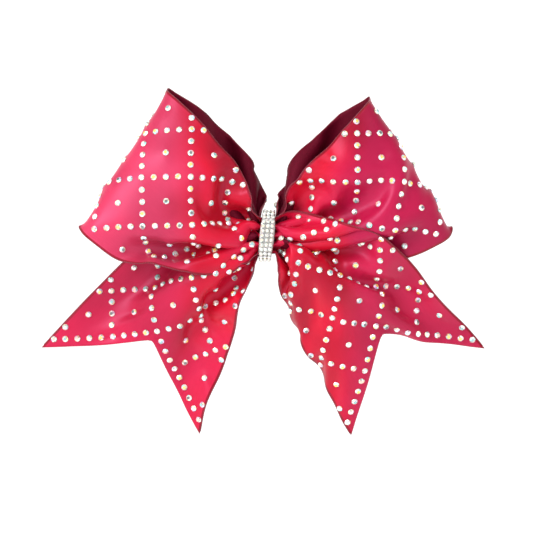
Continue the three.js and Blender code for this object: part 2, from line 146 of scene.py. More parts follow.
LEFT_TAIL = {
    "side": -1,
    "layers": (0,),
    "lines": [(72, 0.45, 0), (-5.3, 0, 0)],
    "guides": [
        (0, 0, -52.2, -3, -45.2), (-1, 1, -73.6, 5, -48.0), (-2, 2, -96.9, 7, -49.3),
        (-1, -1, -44.4, 5, -63.2), (-2, -2, -35.2, 8, -81.8), (0, 2, -74.4, 3, -26.3),
        (1, 1, -53.3, -5, -25.2), (2, 0, -35.6, -18, -20.1), (2.5, -0.5, -25.5, -20, -17.7),
        (3, -1, -14.4, -18, -15.1), (0, -2, -25.0, -2, -53.5), (0.5, -0.5, -41.6, -5, -42.8),
        (1, -1, -31.7, -7, -37.8), (1.5, -1.5, -23.9, -11, -31.7), (2, -2, -15.5, -15, -26.3),
        (1.5, -0.5, -34.0, -13, -30.4), (0.5, -1.5, -29.7, -4, -44.5), (1, 0, -44.4, -10, -32.9),
        (0, 1, -63.1, 0, -36.5), (-1, 2, -85.4, 5, -37.5), (1, 2, -63.8, -3, -15.3),
        (0, -1, -39.2, -1, -49.6), (2, -1, -24.7, -13, -25.7), (1, -2, -20.5, -8, -39.8),
        (-1, -2, -29.9, 4, -67.6), (2, 2, -52.0, -9, -4.0), (3, 1, -31.0, -12, -2.0),
        (4, 2, -25.0, -12, 9.0), (-0.33, 0, -55.2, -3, -50.6),
    ],
    "fold": [],
    "back": [],
}

RIGHT_TAIL = {
    "side": 1,
    "layers": (-1,),
    "lines": [(76, 0.47, 0), (-5.3, 0, 0)],
    "guides": [
        (0, 0, 51.4, -6, -42.8), (-1, 1, 71.7, 2, -46.7), (-2, 2, 92.2, 6, -48.8),
        (-1, -1, 46.1, -1, -64.3), (-2, -2, 39.6, 6, -83.8), (1, 1, 51.2, -12, -24.2),
        (0, 2, 71.7, -5, -26.3), (2, 2, 52.3, -24, -6.5), (3, 1, 31.9, -17, -3.5),
        (3.5, 0.5, 21.8, -16, -3.0), (4, 0, 13.5, -15, -2.3), (2, 0, 33.5, -24, -18.7),
        (2.5, 0.5, 31.6, -20, -12.2), (3, -1, 15.2, -20, -12.3), (3.5, -1.5, 7.2, -17, -8.6),
        (3.5, -0.5, 15.0, -17, -5.0), (1, -1, 30.6, -15, -38.6), (2, -2, 11.4, -13, -31.4),
        (1.5, -1.5, 20.3, -14, -35.6), (2.5, -1.5, 12.8, -17, -22.4), (0, -2, 25.7, -6, -57.4),
        (4, 2, 29.4, -30, 2.2), (4.25, 2.25, 27.3, -28, 6.3), (4.5, 1.5, 18.6, -28, -1.1),
        (5, 2, 15.5, -25, 4.7), (1, 0, 43.1, -15, -30.3), (2, 1, 41.5, -19, -13.6),
        (0, 1, 61.2, -3, -35.4), (1, 2, 62.3, -13, -15.5), (-1, 2, 81.7, 2, -37.7),
        (2, -1, 22.9, -20, -25.5), (0, -1, 38.4, -9, -51.5), (1, -2, 18.3, -10, -44.4),
        (-1, -2, 32.8, 0, -70.4), (3, 0, 22.9, -19, -8.8), (3.8, 1.2, 25.0, -21, 3.0),
        (4.15, 1.6, 25.0, -29, -1.2), (-0.33, 0, 55.2, -5, -47.0), (3, -2.364, 6.0, -13, -17.8),
        (2, -2.364, 9.7, -10, -32.5), (1, -2.364, 15.6, -7, -46.0), (0, -2.364, 22.0, -3, -59.4),
        (-1, -2.364, 28.1, 3, -72.5),
    ],
    "fold": [],
    "back": [],
}


def line_at(line, v):
    return line[0] + line[1] * v + line[2] * v * v


def flat_grid(panel):
    """Where the nodes of the simulated cloth lie on the flat ribbon: rows run across it."""
    v = np.linspace(-HALF, HALF, ACROSS + 1)
    lines = [line_at(line, v) for line in panel["lines"]]
    if len(lines) == 2:
        lines[1] = lines[1] - np.abs(v)  # the fishtail's two cuts, at 45 degrees
    sign = np.sign(lines[0].mean() - lines[1].mean())
    stub = BAND_EDGE / BAND_SLACK * sign
    bounds = [lines[0] + stub, lines[0]] + lines[1:]
    counts = [2] + [round(abs(a.mean() - b.mean()) / CELL) for a, b in zip(lines, lines[1:])]
    if len(lines) == 3:
        bounds.append(lines[2] - stub)
        counts.append(2)
    rows = [bounds[0]]
    for a, b, count in zip(bounds, bounds[1:], counts):
        rows += [a + (b - a) * (i / count) for i in range(1, count + 1)]
    u = np.array(rows)
    return np.stack([u, np.broadcast_to(v, u.shape)], axis=2), bounds, counts


def row_of(panel_grid, u, v):
    """The fractional row and column of a point of the flat ribbon."""
    bounds, counts = panel_grid
    column = (v + HALF) / (2 * HALF) * ACROSS
    low = int(min(max(math.floor(column), 0), ACROSS - 1))
    at = [b[low] + (b[low + 1] - b[low]) * (column - low) for b in bounds]
    row = 0
    for i, count in enumerate(counts):
        share = (u - at[i]) / (at[i + 1] - at[i])
        if share < 1 or i == len(counts) - 1:
            return row + share * count, column
        row += count


def gathered_rows(panel):
    """Fixed positions of the rows inside the band: {row index: points}."""
    share = np.linspace(-1, 1, ACROSS + 1)
    fixed = {}
    for end, layer in enumerate(panel["layers"]):
        for i in range(BAND_ROWS):
            x = panel["side"] * (0.15 + (BAND_EDGE - 0.15) * i / 2)
            y = GATHER_Y + layer * LAYER + pleat(share)
            z = GATHER_HALF_HEIGHT * share
            fixed[i if end == 0 else -1 - i] = np.stack([np.full_like(y, x), y, z], axis=1)
    return fixed


def thin_plate(points, values, queries):
    """Smooth surface through scattered points of the plane."""
    def kernel(a, b):
        r2 = ((a[:, None, :] - b[None, :, :]) ** 2).sum(axis=2)
        return 0.5 * r2 * np.log(r2 + 1e-9)

    n = len(points)
    affine = np.hstack([np.ones((n, 1)), points])
    system = np.zeros((n + 3, n + 3))
    system[:n, :n] = kernel(points, points) + 0.02 * np.eye(n)
    system[:n, n:] = affine
    system[n:, :n] = affine.T
    weights = np.linalg.solve(system, np.vstack([values, np.zeros((3, 3))]))
    q = np.hstack([np.ones((len(queries), 1)), queries])
    return kernel(queries, points) @ weights[:n] + q @ weights[n:]


def cloth_links(uv, stiff):
    """Pairs of nodes with their flat distance, in sets in which no node comes twice."""
    rows, columns = uv.shape[:2]
    index = np.arange(rows * columns).reshape(rows, columns)
    flat = uv.reshape(-1, 2)
    sets = []

    def add(a, b, strength, parity, size):
        for part in range(2):
            chosen = (parity // size) % 2 == part
            first, second = a[chosen], b[chosen]
            length = np.linalg.norm(flat[first] - flat[second], axis=1)
            sets.append((first, second, length, strength))

    i, j = np.meshgrid(np.arange(rows), np.arange(columns), indexing="ij")
    for di, dj, strength in ((1, 0, 1.0), (0, 1, 1.0), (1, 1, 0.7), (1, -1, 0.7),
                             (4, 0, 0.5 * stiff), (0, 4, 0.15 * stiff), (2, 0, stiff), (0, 2, stiff)):
        ok = (i + di < rows) & (j + dj < columns) & (j + dj >= 0)
        a = index[i[ok], j[ok]]
        b = index[i[ok] + di, j[ok] + dj]
        parity = i[ok] if di else j[ok]
        add(a, b, strength, parity, max(di, dj))
    return sets


def straightened(p, strength):
    """One step that takes the sharpest bends out of the grid, without pulling in its edges."""
    force = np.zeros_like(p)
    for axis in (0, 1):
        q, f = np.moveaxis(p, axis, 0), np.moveaxis(force, axis, 0)
        bend = q[:-2] - 2 * q[1:-1] + q[2:]
        f[:-2] += bend
        f[1:-1] -= 2 * bend
        f[2:] += bend
    return p - strength * force


def settle(panel, steps=1200, stiff=0.2, give=0.25, fair=0.01):
    """Lets the cloth find the shape that keeps its lengths, given its guides."""
    uv, bounds, counts = flat_grid(panel)
    rows, columns = uv.shape[:2]
    fixed = gathered_rows(panel)
    guides = [(guide, *pulls) for kind, pulls in PULLS.items() for guide in panel[kind]]
    points = np.array([[g[0] * UNIT, g[1] * UNIT] for g, _, _ in guides])
    targets = np.array([g[2:] for g, _, _ in guides], dtype=float)
    pull = np.array([[w, wy, w] for _, w, wy in guides])

    control, value = [points], [targets]
    for row, place in fixed.items():
        control.append(uv[row][::2])
        value.append(place[::2])
    start = thin_plate(np.vstack(control) / UNIT, np.vstack(value), uv.reshape(-1, 2) / UNIT)
    p = start.reshape(rows, columns, 3)
    free = np.ones((rows, columns))
    for row, place in fixed.items():
        p[row] = place
        free[row] = 0
    p = p.reshape(-1, 3)
    free = free.reshape(-1)

    corner, weight = [], []
    for u, v in points:
        r, c = row_of((bounds, counts), u, v)
        r0, c0 = int(min(max(r, 0), rows - 2)), int(min(max(c, 0), columns - 2))
        fr, fc = r - r0, c - c0
        corner.append([r0 * columns + c0, r0 * columns + c0 + 1,
                       (r0 + 1) * columns + c0, (r0 + 1) * columns + c0 + 1])
        weight.append([(1 - fr) * (1 - fc), (1 - fr) * fc, fr * (1 - fc), fr * fc])
    corner, weight = np.array(corner), np.array(weight)
    scale = (weight ** 2).sum(axis=1)

    from_band = np.arange(rows)
    if len(panel["layers"]) == 2:
        from_band = np.minimum(from_band, rows - 1 - from_band)
    ease = np.clip((from_band - 2) / 8, 0.05, 1) * (from_band > 2)
    ease = ease[:, None, None]

    sets = []
    for a, b, length, strength in cloth_links(uv, stiff):
        share = free[a] + free[b]
        keep = share > 0
        a, b, length, share = a[keep], b[keep], length[keep], share[keep]
        sets.append((a, b, length, strength / share, free[a][:, None], free[b][:, None],
                     give if strength > 0.6 else 1))
    for step in range(steps):
        for a, b, length, strength, fa, fb, pressed in sets:
            d = p[b] - p[a]
            now = np.sqrt((d * d).sum(axis=1)) + 1e-9
            d *= (strength * np.where(now > length, 1, pressed) * (now - length) / now)[:, None]
            p[a] += fa * d
            p[b] -= fb * d
        loosen = 1 if step < steps * 0.7 else 0.6
        there = (weight[:, :, None] * p[corner]).sum(axis=1)
        push = (targets - there) * pull * loosen / scale[:, None]
        move = weight[:, :, None] * push[:, None, :] * free[corner][:, :, None]
        np.add.at(p, corner, move)
        p = straightened(p.reshape(rows, columns, 3), fair * ease).reshape(-1, 3)
    return p.reshape(rows, columns, 3), uv, (bounds, counts)


# ---- meshes from the settled cloth ----------------------------------------------------------------


def finer(grid, times):
    """The grid with that many cells for each one, along smooth curves through its points."""
    def along_rows(g):
        padded = np.concatenate([2 * g[:1] - g[1:2], g, 2 * g[-1:] - g[-2:-1]])
        a, b, c, d = padded[:-3], padded[1:-2], padded[2:-1], padded[3:]
        out = []
        for i in range(times):
            t = i / times
            out.append(0.5 * (2 * b + (c - a) * t + (2 * a - 5 * b + 4 * c - d) * t * t
                              + (3 * b - a - 3 * c + d) * t ** 3))
        rows = np.stack(out, axis=1).reshape(-1, *g.shape[1:])
        return np.concatenate([rows, g[-1:]])

    return along_rows(along_rows(grid).swapaxes(0, 1)).swapaxes(0, 1)


def normals_of(grid):
    along = np.gradient(grid, axis=0)
    across = np.gradient(grid, axis=1)
    n = np.cross(along, across)
    return n / (np.linalg.norm(n, axis=2, keepdims=True) + 1e-9)


def new_object(name, vertices, faces, material, smooth=True, uv=None):
    mesh = bpy.data.meshes.new(name)
    mesh.from_pydata([tuple(v) for v in np.asarray(vertices) * 0.001], [], faces)
    mesh.polygons.foreach_set("use_smooth", [smooth] * len(mesh.polygons))
    if uv is not None:
        layer = mesh.uv_layers.new(name="UVMap")
        loops = np.empty(len(mesh.loops), dtype=int)
        mesh.loops.foreach_get("vertex_index", loops)
        layer.data.foreach_set("uv", np.asarray(uv)[loops].reshape(-1))
    mesh.update()
    obj = bpy.data.objects.new(name, mesh)
    bpy.context.collection.objects.link(obj)
    obj.data.materials.append(material)
    return obj


def shell(name, grid, normals, inner, outer, uv, material):
    """A closed sheet between two offsets from the surface, with its flat coordinates as UVs."""
    rows, columns = grid.shape[:2]
    vertices = np.concatenate([(grid + normals * inner).reshape(-1, 3),
                               (grid + normals * outer).reshape(-1, 3)])
    index = np.arange(rows * columns).reshape(rows, columns)
    a, b, c, d = index[:-1, :-1], index[:-1, 1:], index[1:, 1:], index[1:, :-1]
    low = np.stack([a, b, c, d], axis=2).reshape(-1, 4)
    high = np.stack([a, d, c, b], axis=2).reshape(-1, 4) + rows * columns
    rim = np.concatenate([index[0, :], index[1:, -1], index[-1, -2::-1], index[-2:0:-1, 0]])
    after = np.roll(rim, -1)
    wall = np.stack([after, rim, rim + rows * columns, after + rows * columns], axis=1)
    faces = np.concatenate([low, high, wall]).tolist()
    flat = np.concatenate([uv.reshape(-1, 2)] * 2) * 0.001
    return new_object(name, vertices, faces, material, uv=flat)


# ---- materials ------------------------------------------------------------------------------------


def new_material(name):
    material = bpy.data.materials.new(name)
    material.use_nodes = True
    tree = material.node_tree
    return material, tree.nodes["Principled BSDF"], tree


def node(tree, kind, inputs=None, **settings):
    made = tree.nodes.new("ShaderNode" + kind)
    for key, value in settings.items():
        setattr(made, key, value)
    for key, value in (inputs or {}).items():
        if isinstance(value, bpy.types.NodeSocket):
            tree.links.new(value, made.inputs[key])
        else:
            made.inputs[key].default_value = value
    return made


def ramp(tree, value, *stops, interpolation="LINEAR"):
    made = node(tree, "ValToRGB", {"Fac": value})
    elements = made.color_ramp.elements
    made.color_ramp.interpolation = interpolation
    for i, (position, colour) in enumerate(stops):
        element = elements[i] if i < 2 else elements.new(position)
        element.position = position
        element.color = (*colour, 1)
    return made.outputs["Color"]


def maths(tree, operation, a, b=0.0):
    return node(tree, "Math", {0: a, 1: b}, operation=operation).outputs["Value"]


def mixed(tree, factor, a, b, blend="MIX"):
    inputs = {0: factor, 6: a, 7: b}
    return node(tree, "Mix", inputs, data_type="RGBA", blend_type=blend).outputs[2]


def bumped(tree, shader, height, strength, distance):
    bump = node(tree, "Bump", {"Height": height, "Strength": strength, "Distance": distance})
    tree.links.new(bump.outputs["Normal"], shader.inputs["Normal"])


def flat_threads(tree, along, across):
    """Fine noise drawn out along the ribbon, from its flat coordinates."""
    flat = node(tree, "UVMap").outputs["UV"]
    stretched = node(tree, "Mapping", {"Vector": flat, "Scale": (along, across, 1)}).outputs["Vector"]
    noise = node(tree, "TexNoise", {"Vector": stretched, "Scale": 1.0, "Detail": 3.0})
    return flat, noise.outputs["Fac"]


def satin_material(name, deep, bright, pink, outer):
    """Crimson satin: warp threads along it, a woven edge, and a painted reflection that gives another
    red farther from the band.
    """
    material, shader, tree = new_material(name)
    flat, threads = flat_threads(tree, 160, 5200)
    place = node(tree, "TexCoord").outputs["Object"]
    broad = node(tree, "TexNoise", {"Vector": place, "Scale": 26.0, "Detail": 1.0}).outputs["Fac"]
    # Broad noise mixes deep red, bright red and pink: partly random tone of the satin, partly painted
    # shade and painted sheen.
    inner = ramp(tree, broad, (0.35, deep), (0.52, bright), (0.68, pink))
    # Painted reflection: from about 44 mm to 62 mm out from the middle, the red turns to the panel's
    # outer colour, which stands for light the outer folds reflect.
    reach = maths(tree, "ABSOLUTE", node(tree, "SeparateXYZ", {"Vector": place}).outputs["X"])
    shifted = maths(tree, "ADD", reach, maths(tree, "MULTIPLY", broad, 0.03))
    away = node(tree, "MapRange", {"Value": shifted, "From Min": 0.044, "From Max": 0.062},
                interpolation_type="SMOOTHSTEP").outputs["Result"]
    painted_reflection_colour = ramp(tree, broad, (0.35, tuple(0.75 * c for c in outer)), (0.62, outer))
    colour = mixed(tree, away, inner, painted_reflection_colour)
    fine = ramp(tree, threads, (0.3, (0.8, 0.8, 0.8)), (0.7, (1.0, 1.0, 1.0)))
    woven = mixed(tree, 0.6, colour, fine, "MULTIPLY")
    parts = node(tree, "SeparateXYZ", {"Vector": flat})
    edge = maths(tree, "GREATER_THAN", maths(tree, "ABSOLUTE", parts.outputs["Y"]), 0.0371)
    rimmed = mixed(tree, edge, woven, (*[0.8 * c for c in deep], 1))
    tree.links.new(rimmed, shader.inputs["Base Color"])
    rough = node(tree, "MapRange", {"Value": threads, "To Min": 0.3, "To Max": 0.46})
    tree.links.new(rough.outputs["Result"], shader.inputs["Roughness"])
    shader.inputs["Specular IOR Level"].default_value = 0.42
    shader.inputs["Specular Tint"].default_value = (1.0, 0.42, 0.7, 1)
    shader.inputs["Sheen Weight"].default_value = 0.06
    shader.inputs["Sheen Roughness"].default_value = 0.4
    shader.inputs["Sheen Tint"].default_value = (1.0, 0.45, 0.6, 1)
    picks = node(tree, "TexWave", {"Vector": flat, "Scale": 1500.0, "Distortion": 0.4},
                 bands_direction="X").outputs["Fac"]
    ribs = maths(tree, "MULTIPLY", maths(tree, "MULTIPLY", picks, edge), 2.0)
    bumped(tree, shader, maths(tree, "ADD", threads, ribs), 0.25, 0.00006)
    return material


def lining_material():
    material, shader, tree = new_material("matt_lining_painted_shade")
    threads = flat_threads(tree, 900, 5200)[1]
    # Very dark maroon: partly the duller back of the satin, partly painted shade that stands for the
    # shade inside the loops.
    colour = ramp(tree, threads, (0.3, (0.06, 0.0005, 0.006)), (0.7, (0.12, 0.001, 0.012)))
    tree.links.new(colour, shader.inputs["Base Color"])
    shader.inputs["Roughness"].default_value = 0.6
    shader.inputs["Specular IOR Level"].default_value = 0.25
    shader.inputs["Specular Tint"].default_value = (1.0, 0.3, 0.45, 1)
    bumped(tree, shader, threads, 0.3, 0.00008)
    return material


def selvedge_material():
    """The overlocked edge: tight crimson stitches, with painted highlights on their crowns and painted
    shade between them.
    """
    material, shader, tree = new_material("selvedge_stitches")
    flat = node(tree, "UVMap").outputs["UV"]
    stitches = node(tree, "TexWave", {"Vector": flat, "Scale": 420.0, "Distortion": 0.6},
                    bands_direction="X").outputs["Fac"]
    # Painted highlight and shade: the stitch wave makes the crowns lighter and the gaps between
    # stitches dark.
    colour = ramp(tree, stitches, (0.2, (0.08, 0.001, 0.01)), (0.75, (0.28, 0.008, 0.03)))
    tree.links.new(colour, shader.inputs["Base Color"])
    shader.inputs["Roughness"].default_value = 0.5
    bumped(tree, shader, stitches, 0.8, 0.0002)
    return material


def crystal_material(name, strength):
    """Foiled glass: each facet gets a painted glint: most are white, some take a colour such as an
    iridescent coating reflects, and a few are dark painted reflections.
    """
    material, shader, tree = new_material(name)
    painted_glint = node(tree, "Attribute", attribute_name="painted_glint").outputs["Fac"]
    half = maths(tree, "MULTIPLY", painted_glint, 0.5)
    white = (0.88, 0.87, 0.80) if strength > 0.5 else (0.72, 0.71, 0.66)

    def tinted(*colour):
        return tuple(w + strength * (c - w) for w, c in zip(white, colour))

    # Painted glints: cyan, gold and violet facets stand for the coating's coloured reflections, and the
    # darkest facets are dark painted reflections.
    rim = [(0.0, white), (0.16, tinted(0.4, 0.84, 0.82)), (0.25, white),
           (0.31, tinted(0.95, 0.8, 0.42)), (0.37, tinted(0.74, 0.5, 0.86)),
           (0.43, tinted(0.42, 0.34, 0.3))]
    table = [(0.5, white), (0.58, tinted(0.95, 0.66, 0.16)), (0.68, tinted(0.28, 0.5, 0.5)),
             (0.78, tinted(0.62, 0.85, 0.8)), (0.85, tinted(0.9, 0.55, 0.45)),
             (0.92, tinted(0.16, 0.17, 0.17))]
    colour = ramp(tree, half, *rim, *table, interpolation="CONSTANT")
    tree.links.new(colour, shader.inputs["Base Color"])
    shader.inputs["Metallic"].default_value = 0.35
    uneven = node(tree, "TexNoise", {"Scale": 900.0}).outputs["Fac"]
    rough = node(tree, "MapRange", {"Value": uneven, "To Min": 0.06, "To Max": 0.16})
    tree.links.new(rough.outputs["Result"], shader.inputs["Roughness"])
    shader.inputs["Coat Weight"].default_value = 0.5
    return material


def metal_material(name, colour, low, high, scale):
    material, shader, tree = new_material(name)
    place = node(tree, "TexCoord").outputs["Object"]
    drawn = node(tree, "Mapping", {"Vector": place, "Scale": (0.15, 1, 1)}).outputs["Vector"]
    grain = node(tree, "TexNoise", {"Vector": drawn, "Scale": scale, "Detail": 4.0}).outputs["Fac"]
    shade = ramp(tree, grain, (0.3, tuple(0.86 * c for c in colour)), (0.7, colour))
    tree.links.new(shade, shader.inputs["Base Color"])
    rough = node(tree, "MapRange", {"Value": grain, "To Min": low, "To Max": high})
    tree.links.new(rough.outputs["Result"], shader.inputs["Roughness"])
    shader.inputs["Metallic"].default_value = 1.0
    bumped(tree, shader, grain, 0.15, 0.00005)
    return material


def nylon_material():
    material, shader, tree = new_material("moulded_nylon")
    place = node(tree, "TexCoord").outputs["Object"]
    teeth = node(tree, "TexWave", {"Vector": place, "Scale": 260.0}, bands_direction="Z").outputs["Fac"]
    grain = node(tree, "TexNoise", {"Vector": place, "Scale": 1400.0}).outputs["Fac"]
    colour = ramp(tree, grain, (0.3, (0.012, 0.012, 0.013)), (0.7, (0.028, 0.028, 0.03)))
    tree.links.new(colour, shader.inputs["Base Color"])
    shader.inputs["Roughness"].default_value = 0.42
    bumped(tree, shader, maths(tree, "ADD", teeth, maths(tree, "MULTIPLY", grain, 0.3)), 0.5, 0.0002)
    return material


def glue_material():
    material, shader, tree = new_material("hot_glue")
    place = node(tree, "TexCoord").outputs["Object"]
    cloudy = node(tree, "TexNoise", {"Vector": place, "Scale": 320.0, "Detail": 2.0}).outputs["Fac"]
    colour = ramp(tree, cloudy, (0.3, (0.6, 0.54, 0.42)), (0.7, (0.8, 0.76, 0.66)))
    tree.links.new(colour, shader.inputs["Base Color"])
    shader.inputs["Roughness"].default_value = 0.28
    shader.inputs["Subsurface Weight"].default_value = 0.3
    shader.inputs["Subsurface Scale"].default_value = 0.002
    bumped(tree, shader, cloudy, 0.3, 0.0003)
    return material


# Deep red, bright red and pink of the satin: random tone that also stands for painted shade and painted
# sheen of the folds.
DEEP, BRIGHT, PINK = (0.30, 0.001, 0.009), (0.52, 0.0025, 0.017), (0.53, 0.005, 0.038)
# Each panel's satin copy has its own outer colour, a painted reflection: rose sheen on the left loop,
# darker purple on the right loop.
satin = {
    "left_loop": satin_material("satin_rose_painted_reflection", DEEP, BRIGHT, PINK, (0.54, 0.032, 0.088)),
    "right_loop": satin_material("satin_crimson_painted_reflection", DEEP, BRIGHT, PINK, (0.40, 0.004, 0.045)),
    "left_tail": satin_material("satin_cherry_painted_reflection", DEEP, BRIGHT, PINK, (0.50, 0.007, 0.045)),
    "right_tail": satin_material("satin_scarlet_painted_reflection", DEEP, BRIGHT, PINK, (0.48, 0.008, 0.05)),
}
lining = lining_material()
selvedge = selvedge_material()
crystal = crystal_material("foiled_crystal", 1.0)
band_crystal = crystal_material("band_crystal", 0.35)
silver = metal_material("silver_setting", (0.42, 0.41, 0.40), 0.25, 0.45, 900.0)
nickel = metal_material("nickel_plate", (0.70, 0.69, 0.66), 0.18, 0.34, 700.0)
nylon = nylon_material()
glue = glue_material()


# ---- ribbon panels --------------------------------------------------------------------------------


def tube(name, line, flat, radius, material, sides=6):
    """A closed round strip along a line of points."""
    along = np.gradient(line, axis=0)
    along /= np.linalg.norm(along, axis=1, keepdims=True) + 1e-9
    side = np.cross(along[0], [0.0, 1.0, 0.1])
    side /= np.linalg.norm(side)
    vertices, uv = [], []
    for i, point in enumerate(line):
        side = side - along[i] * (side @ along[i])
        side /= np.linalg.norm(side)
        other = np.cross(along[i], side)
        for j in range(sides):
            turn = 2 * math.pi * j / sides
            vertices.append(point + radius * (math.cos(turn) * side + math.sin(turn) * other))
            uv.append((flat[i], 0.001 * j))
    faces = []
    for i in range(len(line) - 1):
        for j in range(sides):
            k = (j + 1) % sides
            faces.append((i * sides + j, i * sides + k, (i + 1) * sides + k, (i + 1) * sides + j))
    last = (len(line) - 1) * sides
    faces += [tuple(range(sides))[::-1], tuple(last + j for j in range(sides))]
    return new_object(name, vertices, faces, material, uv=np.array(uv))


def on_grid(grid, row, column):
    """The grid's value at a fractional row and column."""
    i = int(min(max(row, 0), grid.shape[0] - 2))
    j = int(min(max(column, 0), grid.shape[1] - 2))
    a, b = row - i, column - j
    return ((1 - a) * (1 - b) * grid[i, j] + (1 - a) * b * grid[i, j + 1]
            + a * (1 - b) * grid[i + 1, j] + a * b * grid[i + 1, j + 1])


def crystal_places(lowest):
    """Where the crystals lie on the flat ribbon: on the grid's lines, and one inside each diamond."""
    places = []
    steps = 4
    for k4 in range(-10 * steps, 8 * steps):
        for m4 in range(lowest, 10):
            k, m = k4 / steps, m4 / steps
            lines = (k4 - m4) % (2 * steps) == 0 or (k4 + m4) % (2 * steps) == 0
            centre = k4 % steps == 0 and m4 % steps == 0
            if lines or centre:
                places.append((k * UNIT, m * UNIT))
    return places


def gem(centre, normal, turn, radius, height, sides=12):
    """A flat-back crystal: girdle, a ring of facets up to a six-sided table."""
    normal = normal / np.linalg.norm(normal)
    side = np.cross(normal, [0.31, 0.52, 0.79])
    side /= np.linalg.norm(side)
    other = np.cross(normal, side)

    def ring(r, up, count, shift):
        return [centre + normal * up + r * (math.cos(shift + 2 * math.pi * i / count) * side
                                            + math.sin(shift + 2 * math.pi * i / count) * other)
                for i in range(count)]

    table = sides // 2
    vertices = ring(radius * 0.96, 0.0, sides, turn) + ring(radius, 0.28 * height, sides, turn)
    vertices += ring(radius * 0.55, height, table, turn)
    faces = [tuple(range(sides))[::-1]]
    for i in range(sides):
        j = (i + 1) % sides
        faces.append((i, j, sides + j, sides + i))
    for i in range(table):
        j = (i + 1) % table
        low, top = sides, 2 * sides
        a, b, c = low + 2 * i, low + (2 * i + 1) % sides, low + (2 * i + 2) % sides
        faces += [(a, b, top + i), (b, c, top + j), (b, top + j, top + i)]
    faces.append(tuple(2 * sides + i for i in range(table)))
    return vertices, faces


def gems(name, places, radius, height, material):
    """One object with a crystal at each (centre, normal)."""
    vertices, faces = [], []
    for centre, normal in places:
        v, f = gem(np.asarray(centre), np.asarray(normal), rng.uniform(0, 1), radius, height)
        base = len(vertices)
        vertices += v
        faces += [tuple(base + i for i in face) for face in f]
    obj = new_object(name, vertices, faces, material, smooth=False)
    # The attribute is below 1 on the facets round the table, and from 1 to 2 on the table.
    # A random pick per facet chooses its painted glint.
    painted_glint_picks = rng.uniform(0, 0.999, len(faces))
    painted_glint_picks[len(faces) // len(places) - 1::len(faces) // len(places)] += 1
    painted_glint = obj.data.attributes.new("painted_glint", "FLOAT", "FACE")
    painted_glint.data.foreach_set("value", painted_glint_picks)
    return obj


def panel_pieces(name, panel):
    p, uv, where = settle(panel)
    fine, flat = finer(p, 2), finer(uv, 2)
    normals = normals_of(fine) * panel["side"]
    face = shell(name + "_satin", fine, normals, INSIDE, OUTSIDE, flat, satin[name])
    # The lining shell carries painted shade in its dark colour.
    back = shell(name + "_matt_lining_painted_shade", fine, normals, -OUTSIDE, -INSIDE, flat, lining)
    pieces = [face, back]
    trims = []
    for edge, column in (("lower", 0), ("upper", -1)):
        line, run = fine[4:-1, column], flat[4:-1, column, 0] * 0.001
        trims.append(tube(f"{name}_{edge}_selvedge", line, run, SELVEDGE_RADIUS, selvedge))
    loop = len(panel["layers"]) == 2
    first, last = BAND_ROWS - 0.1, p.shape[0] - (BAND_ROWS + 0.9 if loop else 1.75)
    places = []
    for u, v in crystal_places(-8 if loop else -9):
        row, column = row_of(where, u, v)
        if row < first or row > last:
            continue
        row, column = 2 * row, 2 * column
        normal = on_grid(normals, row, column)
        places.append((on_grid(fine, row, column) + OUTSIDE * normal, normal))
    trims.append(gems(name + "_crystals", places, CRYSTAL_RADIUS, CRYSTAL_HEIGHT, crystal))
    for piece in pieces + trims:
        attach(piece, "bow")
    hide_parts(name + "_face")
    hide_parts(name + "_lining")


panel_pieces("left_loop", LEFT_LOOP)
panel_pieces("right_loop", RIGHT_LOOP)
panel_pieces("left_tail", LEFT_TAIL)
panel_pieces("right_tail", RIGHT_TAIL)


# ---- gather ---------------------------------------------------------------------------------------

BAND_HALF_DEPTH = 9.5
BAND_HALF_HEIGHT = 11.3
BAND_CORNER = 7.2
BAND_PITCH = 2.2


def ring_point(distance):
    """Point and outward normal at that distance along the band's outer line, from its front middle."""
    flat_z = BAND_HALF_HEIGHT - BAND_CORNER
    flat_y = BAND_HALF_DEPTH - BAND_CORNER
    arc = math.pi / 2 * BAND_CORNER
    side, left = (1, distance) if distance >= 0 else (-1, -distance)
    if left < flat_z:
        y, z, ny, nz = -BAND_HALF_DEPTH, left, -1.0, 0.0
    elif left < flat_z + arc:
        turn = (left - flat_z) / BAND_CORNER
        ny, nz = -math.cos(turn), math.sin(turn)
        y, z = -flat_y + BAND_CORNER * ny, flat_z + BAND_CORNER * nz
    elif left < flat_z + arc + 2 * flat_y:
        y, z, ny, nz = -flat_y + left - flat_z - arc, BAND_HALF_HEIGHT, 0.0, 1.0
    else:
        turn = min((left - flat_z - arc - 2 * flat_y) / BAND_CORNER, math.pi / 2)
        ny, nz = math.sin(turn), math.cos(turn)
        y, z = flat_y + BAND_CORNER * ny, flat_z + BAND_CORNER * nz
    return np.array([GATHER_Y + y, side * z]), np.array([ny, side * nz])


def band_line(z):
    """The x of the band's middle at that height, and the share of its width that it keeps there."""
    return 0.09 * z - 0.3, 1 - 0.0015 * z * z


